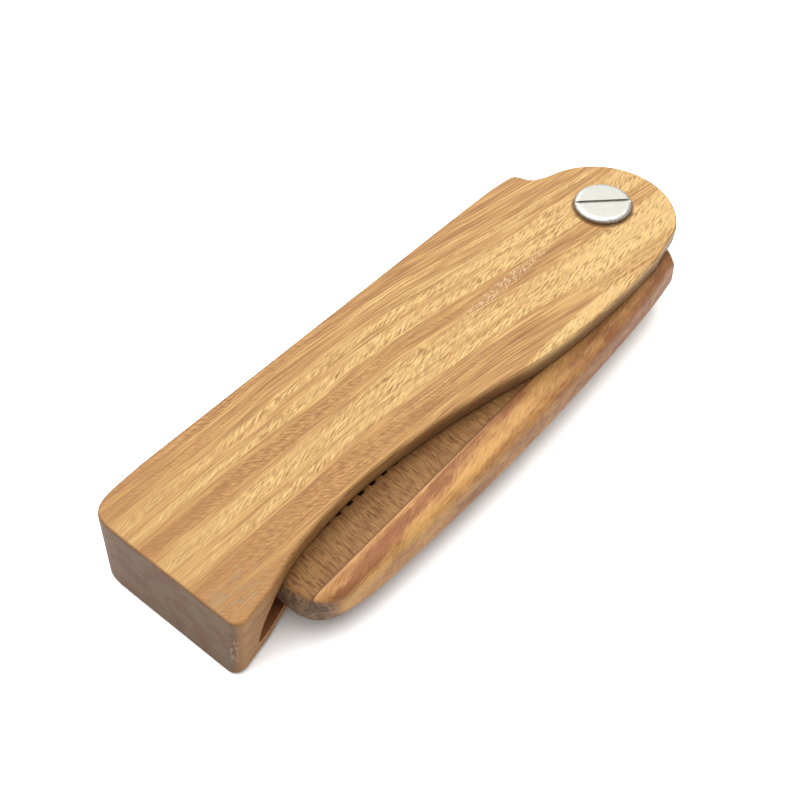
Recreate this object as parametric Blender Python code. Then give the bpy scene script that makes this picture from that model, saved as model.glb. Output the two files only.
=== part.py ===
"""A folding wooden pocket comb, shown folded.

A one-piece wooden handle has a slot milled along its front edge. The comb is a long-grain spine with a
cross-grain toothed blank glued along it. It turns in the slot on a slotted binding post and screw.

Frame: +X runs from the handle's flat base end to its round pivot end, +Y from the comb's spine to the
handle's back edge, +Z up. The origin is at the bottom centre of the folded object.
Plan outlines are measured from the handle's base end (x = 0), its back edge (y = 0) and its underside
(z = 0), so the front of the object has negative y. place() moves them into the frame.
"""

import math

import bmesh
import bpy
from mathutils import Matrix, Vector

MM = 0.001
GAP = 0.3 * MM

# Handle
HANDLE_LENGTH = 119.0 * MM
HANDLE_THICK = 15.0 * MM
CHEEK_THICK = 3.5 * MM
SLOT_HEIGHT = HANDLE_THICK - 2 * CHEEK_THICK
WEB_THICK = 6.0 * MM
WEB_END_X = 104.4 * MM
END_RADIUS = 13.8 * MM
END_CENTRE = (HANDLE_LENGTH - END_RADIUS, -19.3 * MM)
BASE_FRONT_Y = -32.7 * MM
BASE_FRONT_RADIUS = 2.0 * MM
HANDLE_TOP_EDGE = 0.5 * MM
HANDLE_UNDER_EDGE = 0.8 * MM
GRIP_EDGE = 1.6 * MM  # the underside's front edge
GRIP_START_Y = -24.0 * MM
GRIP_FULL_Y = -30.0 * MM
FRONT_LEAN = 1.6 * MM  # how far the front wall slopes in between the top and the underside
LEAN_POWER = 1.6  # above 1, the wall curves in more towards the underside
LEAN_START_Y = -12.0 * MM
LEAN_FULL_Y = -24.0 * MM

# Comb
FOLDED_WIDTH = 39.0 * MM
COMB_THICK = SLOT_HEIGHT - 2 * GAP
COMB_TIP_X = 12.0 * MM
SEAM_TIP_Y = -35.0 * MM
SEAM_SLOPE = 0.043
BLANK_END_X = 91.0 * MM
SPINE_TOP_EDGE = 2.0 * MM
SPINE_UNDER_EDGE = 2.4 * MM
TIP_TOP_EDGE = 1.6 * MM
TIP_UNDER_EDGE = 3.1 * MM
INNER_EDGE = 0.2 * MM  # the comb's edges along the seam and round the tang
TIP_END_X = 14.0 * MM  # the tip's round rim is full up to here
TIP_FADE_X = 16.0 * MM
TIP_FADE_Y = (-14.0 * MM, -22.0 * MM)  # where the tip end's rim starts and is full
SPINE_START_X = (16.0 * MM, 24.0 * MM)  # where the tip's rim turns into the spine's
TANG_RADIUS = 10.5 * MM

# Teeth
TOOTH_PITCH = 2.64 * MM
FIRST_GAP_X = 16.1 * MM
GAP_COUNT = 28
TOOTH_TIP_Y = -7.6 * MM
TOOTH_ROOT_Y = -27.75 * MM
TAPER_START_Y = -31.0 * MM
TIP_THICK = 2.6 * MM
GAP_ROOT_HALF = 0.62 * MM
GAP_CORNER = 0.25 * MM
GAP_NECK_HALF = 0.75 * MM
GAP_MOUTH_HALF = 1.05 * MM
TIP_POINT_LENGTH = 3.3 * MM

# Pivot hardware
PIVOT = (107.4 * MM, -18.3 * MM)
HEAD_RADIUS = 5.15 * MM
HEAD_THICK = 0.8 * MM
HEAD_BEVEL_WIDTH = 0.9 * MM
HEAD_BEVEL_HEIGHT = 0.5 * MM
SHANK_CHAMFER = 0.25 * MM
BARREL_RADIUS = 2.5 * MM
BARREL_BORE = 2.0 * MM
BARREL_FLOOR_Z = 3.0 * MM
SHANK_RADIUS = BARREL_BORE - GAP
SHANK_END_Z = 5.0 * MM
DRIVE_SLOT_WIDTH = 0.8 * MM
DRIVE_SLOT_DEPTH = 0.3 * MM
SCREW_SLOT_ANGLE = -45.0
POST_SLOT_ANGLE = 20.0
HEEL_FADE_X = (PIVOT[0] + 2 * MM, PIVOT[0] + MM)  # where the spine's rim ends at the heel
ROUND_STEPS = 48
EDGE_STEPS = 3

BELOW_HANDLE = HEAD_THICK + GAP
REACH = 30.0 * MM  # how far a cutter runs past the wood


def place(x, y, z):
    """A point of the plan, as a point of the frame."""
    return Vector((x - HANDLE_LENGTH / 2, y + FOLDED_WIDTH / 2, z + BELOW_HANDLE))


def seam_y(x):
    """The glue line between the teeth blank and the spine."""
    return SEAM_TIP_Y + SEAM_SLOPE * (x - COMB_TIP_X)


# ---------------------------------------------------------------- outlines


def arc(centre, radius, start, end, steps):
    """Points on a circle from the start angle to the end angle, in degrees."""
    angles = [math.radians(start + (end - start) * i / steps) for i in range(steps + 1)]
    return [(centre[0] + radius * math.cos(a), centre[1] + radius * math.sin(a)) for a in angles]


def ease(value, start, end):
    """Zero at start, one at end, and a smooth step between."""
    t = min(max((value - start) / (end - start), 0.0), 1.0)
    return t * t * (3 - 2 * t)


def smooth_run(knots, steps):
    """A Catmull-Rom run through the knots, which are in millimetres."""
    padded = [Vector(knots[0]) * 2 - Vector(knots[1])]
    padded += [Vector(knot) for knot in knots]
    padded += [Vector(knots[-1]) * 2 - Vector(knots[-2])]
    run = []
    for a, b, c, d in zip(padded, padded[1:], padded[2:], padded[3:]):
        for i in range(steps):
            t = i / steps
            point = 2 * b + (c - a) * t
            point += (2 * a - 5 * b + 4 * c - d) * t**2
            point += (3 * b - a - 3 * c + d) * t**3
            run.append(point / 2 * MM)
    run.append(Vector(knots[-1]) * MM)
    return [tuple(point) for point in run]


def handle_outline():
    """Anticlockwise from the back of the base end: base, waisted front edge, round end, step, back."""
    back_corner = [(12, 0), (5.5, -0.35), (2.4, -1.1), (0.7, -2.6), (0.1, -4.8), (0, -8)]
    front_centre = (BASE_FRONT_RADIUS, BASE_FRONT_Y + BASE_FRONT_RADIUS)
    front_edge = [(8, -31.5), (16, -29.2), (25, -28.0), (34, -27.7), (45, -28.6), (57, -30.5),
                  (69, -33.0), (80, -34.0), (93, -34.2), (103, -33.6)]
    step = [(107, -5.3), (105.6, -4.6), (104.6, -3.6), (104.0, -1.9), (102.9, -0.7), (98, -0.1)]
    outline = smooth_run(back_corner, 2)
    outline += arc(front_centre, BASE_FRONT_RADIUS, 180, 285, 5)
    outline += smooth_run(front_edge, 3)
    outline += arc(END_CENTRE, END_RADIUS, -64, 76, 22)
    outline += smooth_run(step, 2)
    outline.append((90 * MM, 0.0))
    return outline


def comb_outline():
    """Anticlockwise from the tip end: rounded back, heel, round tang, then the line of the tooth tips."""
    tip = [(11.4, -31), (11.5, -33), (12.2, -35), (13.6, -36.7), (16, -37.9), (20, -38.6), (26, -38.9)]
    back = [(34, -39), (48, -38.95), (62, -38.5), (80, -37.4), (96, -36.0), (103, -35.1), (106.8, -34.5)]
    heel = [(108.3, -34.2), (108.8, -33.4), (110.2, -29.9), (112.6, -27.3)]
    crown = [(103, -8.2), (97, -7.9), (91, -7.6)]
    corner = 2.0 * MM
    corner_centre = (COMB_TIP_X + 1.2 * MM + corner, TOOTH_TIP_Y - corner)
    outline = smooth_run(tip, 2) + smooth_run(back, 3) + smooth_run(heel, 2)
    outline += arc(PIVOT, TANG_RADIUS, -52, 100, 16)
    outline += smooth_run(crown, 1)
    outline += arc(corner_centre, corner, 90, 175, 4)
    outline.append((COMB_TIP_X + 0.2 * MM, -22.0 * MM))
    return outline


def blank_outline(margin):
    """The plan area of the teeth blank, grown by a margin, open to the tip end and past the tooth tips."""
    pivot_end = BLANK_END_X + margin
    return [(-REACH, seam_y(-REACH) - margin), (pivot_end, seam_y(pivot_end) - margin),
            (pivot_end, REACH), (-REACH, REACH)]


def gap_outline(x):
    """One saw cut between two teeth: a flat root, straight sides and a flared mouth."""
    corner_y = TOOTH_ROOT_Y + GAP_CORNER
    inset = GAP_ROOT_HALF - GAP_CORNER
    root = arc((x - inset, corner_y), GAP_CORNER, 180, 270, 3)
    root += arc((x + inset, corner_y), GAP_CORNER, 270, 360, 3)
    neck_y = TOOTH_TIP_Y - TIP_POINT_LENGTH
    mouth_y = TOOTH_TIP_Y + MM
    flare = (GAP_MOUTH_HALF - GAP_NECK_HALF) / TIP_POINT_LENGTH
    mouth_half = GAP_NECK_HALF + flare * (mouth_y - neck_y)
    right = [(x + GAP_NECK_HALF, neck_y), (x + mouth_half, mouth_y)]
    left = [(x - mouth_half, mouth_y), (x - GAP_NECK_HALF, neck_y)]
    return root + right + left


def slot_outline():
    """The slot in side view: its end comes to a low point, and it runs out past the pivot end."""
    end = [(14, 11.5), (11.5, 11.25), (9.4, 10.5), (7.5, 9.1), (6.2, 7.3), (5.4, 5.4), (5.2, 4.3),
           (5.6, 3.6), (7, 3.5)]
    far = HANDLE_LENGTH + REACH
    return smooth_run(end, 2) + [(far, CHEEK_THICK), (far, CHEEK_THICK + SLOT_HEIGHT)]


# ---------------------------------------------------------------- solids


def add_object(name, mesh_data, material=None):
    mesh = bpy.data.meshes.new(name)
    mesh_data.to_mesh(mesh)
    mesh_data.free()
    obj = bpy.data.objects.new(name, mesh)
    bpy.context.scene.collection.objects.link(obj)
    if material:
        mesh.materials.append(material)
        mesh.shade_smooth()
        mesh.set_sharp_from_angle(angle=math.radians(35))
    else:
        obj.hide_render = True
        obj.display_type = "WIRE"
    return obj


def draw_out(solid, corners, step):
    """Adds a closed run of corners, extruded along a step, to a bmesh."""
    base = solid.faces.new([solid.verts.new(corner) for corner in corners])
    extruded = bmesh.ops.extrude_face_region(solid, geom=[base])["geom"]
    far = [item for item in extruded if isinstance(item, bmesh.types.BMVert)]
    bmesh.ops.translate(solid, verts=far, vec=step)
    bmesh.ops.recalc_face_normals(solid, faces=solid.faces)


def cutter(name, corners, step):
    solid = bmesh.new()
    draw_out(solid, corners, step)
    return add_object(name, solid)


def upright(name, outline, low, high):
    """A cutter with a plan outline, from one height to another."""
    return cutter(name, [place(x, y, low) for x, y in outline], (0, 0, high - low))


def turned(name, profile, material):
    """A body turned about the pivot axis. The profile runs from the axis round to the axis again."""
    solid = bmesh.new()
    points = [solid.verts.new(place(PIVOT[0] + r, PIVOT[1], z)) for r, z in profile]
    edges = [solid.edges.new(pair) for pair in zip(points, points[1:])]
    bmesh.ops.spin(solid, geom=points + edges, cent=place(*PIVOT, 0), axis=(0, 0, 1),
                   angle=math.tau, steps=ROUND_STEPS, use_merge=True)
    bmesh.ops.remove_doubles(solid, verts=solid.verts, dist=MM / 1000)
    bmesh.ops.recalc_face_normals(solid, faces=solid.faces)
    return add_object(name, solid, material)


def cut(obj, tool, operation="DIFFERENCE"):
    modifier = obj.modifiers.new(tool.name, "BOOLEAN")
    modifier.operation = operation
    modifier.solver = "EXACT"
    modifier.object = tool


def keep_faces_flat(obj):
    """Keeps the large flat faces even where they meet a rounded rim. It changes the shading only."""
    modifier = obj.modifiers.new("even_shading", "WEIGHTED_NORMAL")
    modifier.keep_sharp = True


def outward(outline, i):
    """The mitred outward normal at one corner of an anticlockwise outline."""
    before = Vector(outline[i]) - Vector(outline[i - 1])
    after = Vector(outline[(i + 1) % len(outline)]) - Vector(outline[i])
    sides = [Vector((edge.y, -edge.x)).normalized() for edge in (before, after)]
    middle = (sides[0] + sides[1]).normalized()
    return middle / middle.dot(sides[0])


def rounded_slab(name, outline, low, high, under_edge, top_edge, material):
    """A slab whose rims are rounded. under_edge and top_edge give the radius at a point of the outline."""
    normals = [outward(outline, i) for i in range(len(outline))]
    quarter = [math.radians(90 * i / EDGE_STEPS) for i in range(EDGE_STEPS + 1)]
    levels = [(low, 1, under_edge, angle) for angle in quarter]
    levels += [(high, -1, top_edge, angle) for angle in reversed(quarter)]
    solid = bmesh.new()
    rings = []
    for face_z, inward, edge, angle in levels:
        ring = []
        for (x, y), normal in zip(outline, normals):
            radius = edge(x, y)
            inset = radius * (1 - math.sin(angle))
            z = face_z + inward * radius * (1 - math.cos(angle))
            ring.append(solid.verts.new(place(x - normal.x * inset, y - normal.y * inset, z)))
        rings.append([solid.edges.new((ring[i - 1], ring[i])) for i in range(len(ring))])
        if len(rings) == 1 or len(rings) == len(levels):
            solid.faces.new(ring)
    for lower, upper in zip(rings, rings[1:]):
        bmesh.ops.bridge_loops(solid, edges=lower + upper)
    bmesh.ops.recalc_face_normals(solid, faces=solid.faces)
    return add_object(name, solid, material)


def pivot_hole():
    circle = arc(PIVOT, BARREL_RADIUS + GAP, 0, 360, ROUND_STEPS)[:-1]
    return upright("pivot_hole_cutter", circle, -REACH, HANDLE_THICK + REACH)


def drive_slot(name, angle, low, high):
    """A cutter for a screwdriver slot across a head."""
    turn = Matrix.Rotation(math.radians(angle), 2)
    corners = [(-REACH, -DRIVE_SLOT_WIDTH / 2), (REACH, -DRIVE_SLOT_WIDTH / 2),
               (REACH, DRIVE_SLOT_WIDTH / 2), (-REACH, DRIVE_SLOT_WIDTH / 2)]
    outline = [tuple(Vector(PIVOT) + turn @ Vector(corner)) for corner in corners]
    return upright(name, outline, low, high)


# ---------------------------------------------------------------- materials


def principled(name, colour, roughness, metallic=0.0):
    material = bpy.data.materials.new(name)
    material.use_nodes = True
    shader = material.node_tree.nodes["Principled BSDF"]
    shader.inputs["Base Color"].default_value = (*colour, 1.0)
    shader.inputs["Roughness"].default_value = roughness
    shader.inputs["Metallic"].default_value = metallic
    return material


def golden_wood():
    return principled("golden_wood", (0.56, 0.33, 0.12), 0.5)


def red_brown_wood():
    return principled("red_brown_wood", (0.45, 0.21, 0.08), 0.5)


def cross_grain_wood():
    return principled("cross_grain_wood", (0.37, 0.20, 0.08), 0.55)


def nickel():
    return principled("nickel", (0.80, 0.79, 0.76), 0.25, 1.0)


# ---------------------------------------------------------------- pieces


def slot_cutter():
    """The comb's slot, open to the front and the pivot end."""
    corners = [place(x, -WEB_THICK, z) for x, z in slot_outline()]
    return cutter("slot_cutter", corners, (0, -FOLDED_WIDTH - REACH, 0))


def back_opening_cutter():
    """Where the slot runs out through the back edge, past the end of the web."""
    inner = -2 * WEB_THICK
    outline = [(WEB_END_X, inner), (HANDLE_LENGTH + REACH, inner),
               (HANDLE_LENGTH + REACH, REACH), (WEB_END_X, REACH)]
    return upright("back_opening_cutter", outline, CHEEK_THICK, CHEEK_THICK + SLOT_HEIGHT)


def lean_front(handle):
    """Slopes the front wall in towards the underside, and leaves the top and the back as they are."""
    for vertex in handle.data.vertices:
        point = vertex.co - place(0, 0, 0)
        depth = max(1 - point.z / HANDLE_THICK, 0.0) ** LEAN_POWER
        vertex.co.y += FRONT_LEAN * depth * ease(point.y, LEAN_START_Y, LEAN_FULL_Y)


def handle_top_edge(x, y):
    return HANDLE_TOP_EDGE


def handle_under_edge(x, y):
    """The base end and the back are barely rounded, and the front is rounded for the fingers."""
    from_base = ease(x, 0, BASE_FRONT_RADIUS)
    to_front = ease(y, GRIP_START_Y, GRIP_FULL_Y)
    return HANDLE_UNDER_EDGE + (GRIP_EDGE - HANDLE_UNDER_EDGE) * from_base * to_front


def comb_edge(x, y, spine, tip):
    """The comb's rim: one radius along the spine, another round the tip end, and a small one inside."""
    to_spine = ease(x, *SPINE_START_X)
    at_back = ease(y, seam_y(x), seam_y(x) - MM) * ease(x, *HEEL_FADE_X)
    at_tip_end = ease(x, TIP_FADE_X, TIP_END_X) * ease(y, *TIP_FADE_Y)
    return INNER_EDGE + (tip + (spine - tip) * to_spine - INNER_EDGE) * max(at_back, at_tip_end)


def comb_top_edge(x, y):
    return comb_edge(x, y, SPINE_TOP_EDGE, TIP_TOP_EDGE)


def comb_under_edge(x, y):
    return comb_edge(x, y, SPINE_UNDER_EDGE, TIP_UNDER_EDGE)


def make_handle(material, hole):
    handle = rounded_slab("handle", handle_outline(), 0.0, HANDLE_THICK,
                          handle_under_edge, handle_top_edge, material)
    lean_front(handle)
    cut(handle, slot_cutter())
    cut(handle, back_opening_cutter())
    cut(handle, hole)
    keep_faces_flat(handle)


def comb_blank(name, material):
    """The whole comb, shaped as one board before it is divided along its glue lines."""
    low = CHEEK_THICK + GAP
    return rounded_slab(name, comb_outline(), low, low + COMB_THICK,
                        comb_under_edge, comb_top_edge, material)


def make_spine(material, hole):
    spine = comb_blank("comb_spine", material)
    cut(spine, upright("blank_space_cutter", blank_outline(GAP), -REACH, REACH))
    cut(spine, hole)
    keep_faces_flat(spine)


def wedge_cutter():
    """The blank's side profile: full thickness at the seam, thinner at the tooth tips."""
    middle = HANDLE_THICK / 2
    full = SLOT_HEIGHT / 2
    tip = TIP_THICK / 2
    past = 2 * MM
    profile = [(SEAM_TIP_Y - past, full), (TAPER_START_Y, full), (TOOTH_TIP_Y + past / 2, tip)]
    side = [(y, middle + half) for y, half in profile]
    side += [(y, middle - half) for y, half in reversed(profile)]
    return cutter("wedge_cutter", [place(0, y, z) for y, z in side], (HANDLE_LENGTH, 0, 0))


def gaps_cutter():
    solid = bmesh.new()
    for i in range(GAP_COUNT):
        outline = gap_outline(FIRST_GAP_X + i * TOOTH_PITCH)
        draw_out(solid, [place(x, y, -REACH) for x, y in outline], (0, 0, 2 * REACH))
    return add_object("gaps_cutter", solid)


def make_teeth(material):
    teeth = comb_blank("comb_teeth", material)
    cut(teeth, upright("blank_area_cutter", blank_outline(0.0), -REACH, REACH), "INTERSECT")
    cut(teeth, wedge_cutter(), "INTERSECT")
    cut(teeth, gaps_cutter())
    keep_faces_flat(teeth)


def make_post(material):
    """The female half of the binding post: a flat slotted head below and a bored barrel."""
    rim = HEAD_RADIUS - HEAD_BEVEL_WIDTH
    top = HANDLE_THICK - GAP
    profile = [(0, -BELOW_HANDLE), (rim, -BELOW_HANDLE), (HEAD_RADIUS, -BELOW_HANDLE + HEAD_BEVEL_HEIGHT),
               (HEAD_RADIUS, -GAP), (BARREL_RADIUS, -GAP), (BARREL_RADIUS, top), (BARREL_BORE, top),
               (BARREL_BORE, BARREL_FLOOR_Z), (0, BARREL_FLOOR_Z)]
    post = turned("pivot_post", profile, material)
    cut(post, drive_slot("post_slot_cutter", POST_SLOT_ANGLE, -REACH, -BELOW_HANDLE + DRIVE_SLOT_DEPTH))


def make_screw(material):
    """The male half: a flat slotted head on top and a shank inside the barrel."""
    rim = HEAD_RADIUS - HEAD_BEVEL_WIDTH
    seat = HANDLE_THICK + GAP
    top = seat + HEAD_THICK
    profile = [(0, SHANK_END_Z), (SHANK_RADIUS - SHANK_CHAMFER, SHANK_END_Z),
               (SHANK_RADIUS, SHANK_END_Z + SHANK_CHAMFER), (SHANK_RADIUS, seat), (HEAD_RADIUS, seat),
               (HEAD_RADIUS, top - HEAD_BEVEL_HEIGHT), (rim, top), (0, top)]
    screw = turned("pivot_screw", profile, material)
    cut(screw, drive_slot("screw_slot_cutter", SCREW_SLOT_ANGLE, top - DRIVE_SLOT_DEPTH, top + REACH))


def main():
    for obj in list(bpy.data.objects):
        bpy.data.objects.remove(obj)
    hole = pivot_hole()
    make_handle(golden_wood(), hole)
    make_spine(red_brown_wood(), hole)
    make_teeth(cross_grain_wood())
    metal = nickel()
    make_post(metal)
    make_screw(metal)


main()
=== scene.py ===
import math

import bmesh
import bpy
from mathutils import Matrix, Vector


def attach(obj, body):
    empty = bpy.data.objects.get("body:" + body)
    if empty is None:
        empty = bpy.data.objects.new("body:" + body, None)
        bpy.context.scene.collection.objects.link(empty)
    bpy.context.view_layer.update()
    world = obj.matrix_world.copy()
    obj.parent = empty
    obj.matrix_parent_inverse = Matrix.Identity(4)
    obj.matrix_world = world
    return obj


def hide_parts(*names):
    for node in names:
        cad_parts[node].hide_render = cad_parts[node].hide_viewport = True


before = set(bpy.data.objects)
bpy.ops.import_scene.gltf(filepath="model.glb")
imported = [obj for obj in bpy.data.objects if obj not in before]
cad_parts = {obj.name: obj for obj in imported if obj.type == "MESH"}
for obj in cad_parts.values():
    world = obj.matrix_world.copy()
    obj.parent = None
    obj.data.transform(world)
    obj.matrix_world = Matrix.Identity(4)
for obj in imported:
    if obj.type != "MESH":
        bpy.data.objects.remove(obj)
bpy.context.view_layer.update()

# A folding wooden pocket comb, folded, on a pale floor.
# Plan outlines are measured from the handle's flat base end (x = 0), its back edge (y = 0) and its
# underside (z = 0), in the same way as the CAD part. place() moves them into the frame.
# Materials work in plan millimetres too, so the figure of the wood is laid out where it is seen.
# In a material's functions, g is its Graph, and sizes are in millimetres.

MM = 0.001

# Handle
HANDLE_LENGTH = 119.0 * MM
HANDLE_THICK = 15.0 * MM
CHEEK_THICK = 3.5 * MM
SLOT_HEIGHT = HANDLE_THICK - 2 * CHEEK_THICK
WEB_THICK = 6.0 * MM
WEB_END_X = 104.4 * MM
OPENING_OVERLAP = 3.0 * MM
END_RADIUS = 13.8 * MM
END_CENTRE = (HANDLE_LENGTH - END_RADIUS, -19.3 * MM)
BASE_FRONT_Y = -32.7 * MM
BASE_FRONT_RADIUS = 2.0 * MM
HANDLE_TOP_EDGE = 0.5 * MM
HANDLE_UNDER_EDGE = 0.8 * MM
GRIP_EDGE = 1.6 * MM
GRIP_START_Y = -24.0 * MM
GRIP_FULL_Y = -30.0 * MM
FRONT_LEAN = 1.6 * MM
LEAN_POWER = 1.6
LEAN_START_Y = -12.0 * MM
LEAN_FULL_Y = -24.0 * MM

# Comb
FOLDED_WIDTH = 39.0 * MM
COMB_LOW = 3.8 * MM
COMB_THICK = 7.4 * MM
COMB_TIP_X = 12.0 * MM
SEAM_TIP_Y = -35.0 * MM
SEAM_SLOPE = 0.043
SEAM_GAP = 0.04 * MM
BLANK_END_X = 91.0 * MM
SPINE_TOP_EDGE = 2.0 * MM
SPINE_UNDER_EDGE = 2.4 * MM
TIP_TOP_EDGE = 1.6 * MM
TIP_UNDER_EDGE = 3.1 * MM
INNER_EDGE = 0.2 * MM
TIP_END_X = 14.0 * MM
TIP_FADE_X = 16.0 * MM
TIP_FADE_Y = (-14.0 * MM, -22.0 * MM)
SPINE_START_X = (16.0 * MM, 24.0 * MM)
HEEL_FADE_X = (109.4 * MM, 108.4 * MM)
TANG_RADIUS = 10.5 * MM
CROWN_RADIUS = 2.0 * MM
CROWN_SETBACK = 1.2 * MM
TIP_FACE_MIDDLE = (12.2 * MM, -22.0 * MM)

# Teeth
TOOTH_PITCH = 2.64 * MM
FIRST_GAP_X = 16.1 * MM
GAP_COUNT = 28
TOOTH_TIP_Y = -7.6 * MM
TOOTH_ROOT_Y = -27.75 * MM
TAPER_START_Y = -31.0 * MM
TIP_THICK = 2.6 * MM
GAP_ROOT_HALF = 0.62 * MM
GAP_CORNER = 0.25 * MM
GAP_NECK_HALF = 0.75 * MM
GAP_MOUTH_HALF = 1.05 * MM
TIP_POINT_LENGTH = 3.3 * MM

# Pivot hardware
PIVOT = (107.4 * MM, -18.3 * MM)
HOLE_RADIUS = 2.8 * MM
HEAD_RADIUS = 5.15 * MM
HEAD_TOP = 16.1 * MM
HEAD_BEVEL_WIDTH = 0.95 * MM
HEAD_BEVEL_HEIGHT = 0.6 * MM
HEAD_FOOT = 0.14 * MM
SEAT = 0.02 * MM
BARREL_RADIUS = 2.5 * MM
BARREL_BORE = 2.0 * MM
BARREL_FLOOR_Z = 3.0 * MM
BARREL_TOP_Z = HANDLE_THICK - 0.3 * MM
SHANK_RADIUS = 1.7 * MM
SHANK_END_Z = 5.0 * MM
SHANK_CHAMFER = 0.25 * MM
DRIVE_SLOT_WIDTH = 0.8 * MM
DRIVE_SLOT_DEPTH = 0.3 * MM
SCREW_SLOT_ANGLE = -45.0
POST_SLOT_ANGLE = 20.0
ROUND_STEPS = 96
EDGE_STEPS = 6
HEAD_STEPS = 8
WOOD_SHARP_ANGLE = 38.0
METAL_SHARP_ANGLE = 30.0

BELOW_HANDLE = 1.1 * MM
REACH = 30.0 * MM
MERGE = MM / 1000

# Camera, in the frame
LOOK_AT = Vector((-1.5548, 6.6822, 1.1)) * MM
CAMERA_DISTANCE = 259.7342 * MM
CAMERA_ELEVATION = 48.2314
CAMERA_AZIMUTH = -139.2447
CAMERA_ROLL = 0.2823
LENS = 67.5

# Light
SUN_STRENGTH = 6.0
SUN_ANGLE = 100.0
SUN_TILT = (-20.0, 4.0)
FILL_STRENGTH = 0.80

# Floor
FLOOR_HALF = 3.0
BASE_CONTACT_X = 0.3 * MM


def place(x, y, z):
    """A point of the plan, as a point of the frame."""
    return Vector((x - HANDLE_LENGTH / 2, y + FOLDED_WIDTH / 2, z + BELOW_HANDLE))


def seam_y(x):
    """The glue line between the teeth blank and the spine."""
    return SEAM_TIP_Y + SEAM_SLOPE * (x - COMB_TIP_X)


# ---------------------------------------------------------------- outlines


def arc(centre, radius, start, end, steps):
    """Points on a circle from the start angle to the end angle, in degrees."""
    angles = [math.radians(start + (end - start) * i / steps) for i in range(steps + 1)]
    return [(centre[0] + radius * math.cos(a), centre[1] + radius * math.sin(a)) for a in angles]


def ease(value, start, end):
    """Zero at start, one at end, and a smooth step between."""
    t = min(max((value - start) / (end - start), 0.0), 1.0)
    return t * t * (3 - 2 * t)


def smooth_run(knots, steps):
    """A Catmull-Rom run through the knots, which are in millimetres."""
    padded = [Vector(knots[0]) * 2 - Vector(knots[1])]
    padded += [Vector(knot) for knot in knots]
    padded += [Vector(knots[-1]) * 2 - Vector(knots[-2])]
    run = []
    for a, b, c, d in zip(padded, padded[1:], padded[2:], padded[3:]):
        for i in range(steps):
            t = i / steps
            point = 2 * b + (c - a) * t
            point += (2 * a - 5 * b + 4 * c - d) * t**2
            point += (3 * b - a - 3 * c + d) * t**3
            run.append(point / 2 * MM)
    run.append(Vector(knots[-1]) * MM)
    return [tuple(point) for point in run]


def handle_outline():
    """Anticlockwise from the back of the base end: base, waisted front edge, round end, step, back."""
    back_corner = [(12, 0), (5.5, -0.35), (2.4, -1.1), (0.7, -2.6), (0.1, -4.8), (0, -8)]
    front_centre = (BASE_FRONT_RADIUS, BASE_FRONT_Y + BASE_FRONT_RADIUS)
    front_edge = [(8, -31.5), (16, -29.2), (25, -28.0), (34, -27.7), (45, -28.6), (57, -30.5),
                  (69, -33.0), (80, -34.0), (93, -34.2), (103, -33.6)]
    step = [(107, -5.3), (105.6, -4.6), (104.6, -3.6), (104.0, -1.9), (102.9, -0.7), (98, -0.1)]
    outline = smooth_run(back_corner, 4)
    outline += arc(front_centre, BASE_FRONT_RADIUS, 180, 285, 10)
    outline += smooth_run(front_edge, 7)
    outline += arc(END_CENTRE, END_RADIUS, -64, 76, 48)
    outline += smooth_run(step, 4)
    outline.append((90 * MM, 0.0))
    return outline


def comb_outline():
    """Anticlockwise from the tip end: rounded back, heel, round tang, then the line of the tooth tips."""
    tip = [(11.4, -31), (11.5, -33), (12.2, -35), (13.6, -36.7), (16, -37.9), (20, -38.6), (26, -38.9)]
    back = [(34, -39), (48, -38.95), (62, -38.5), (80, -37.4), (96, -36.0), (103, -35.1), (106.8, -34.5)]
    heel = [(108.3, -34.2), (108.8, -33.4), (110.2, -29.9), (112.6, -27.3)]
    crown = [(103, -8.2), (97, -7.9), (91, -7.6)]
    corner_centre = (COMB_TIP_X + CROWN_SETBACK + CROWN_RADIUS, TOOTH_TIP_Y - CROWN_RADIUS)
    outline = smooth_run(tip, 4) + smooth_run(back, 6) + smooth_run(heel, 4)
    outline += arc(PIVOT, TANG_RADIUS, -52, 100, 36)
    outline += smooth_run(crown, 1)
    outline += arc(corner_centre, CROWN_RADIUS, 90, 175, 8)
    outline.append(TIP_FACE_MIDDLE)
    return outline


def blank_outline(margin):
    """The plan area of the teeth blank, grown by a margin, open to the tip end and past the tooth tips."""
    pivot_end = BLANK_END_X + margin
    return [(-REACH, seam_y(-REACH) - margin), (pivot_end, seam_y(pivot_end) - margin),
            (pivot_end, REACH), (-REACH, REACH)]


def gap_outline(x):
    """One saw cut between two teeth: a flat root, straight sides and a flared mouth."""
    corner_y = TOOTH_ROOT_Y + GAP_CORNER
    inset = GAP_ROOT_HALF - GAP_CORNER
    root = arc((x - inset, corner_y), GAP_CORNER, 180, 270, 6)
    root += arc((x + inset, corner_y), GAP_CORNER, 270, 360, 6)
    neck_y = TOOTH_TIP_Y - TIP_POINT_LENGTH
    mouth_y = TOOTH_TIP_Y + MM
    flare = (GAP_MOUTH_HALF - GAP_NECK_HALF) / TIP_POINT_LENGTH
    mouth_half = GAP_NECK_HALF + flare * (mouth_y - neck_y)
    right = [(x + GAP_NECK_HALF, neck_y), (x + mouth_half, mouth_y)]
    left = [(x - mouth_half, mouth_y), (x - GAP_NECK_HALF, neck_y)]
    return root + right + left


def slot_outline():
    """The slot in side view: its end comes to a low point, and it runs out past the pivot end."""
    end = [(14, 11.5), (11.5, 11.25), (9.4, 10.5), (7.5, 9.1), (6.2, 7.3), (5.4, 5.4), (5.2, 4.3),
           (5.6, 3.6), (7, 3.5)]
    far = HANDLE_LENGTH + REACH
    return smooth_run(end, 6) + [(far, CHEEK_THICK), (far, CHEEK_THICK + SLOT_HEIGHT)]


# ---------------------------------------------------------------- solids


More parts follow.
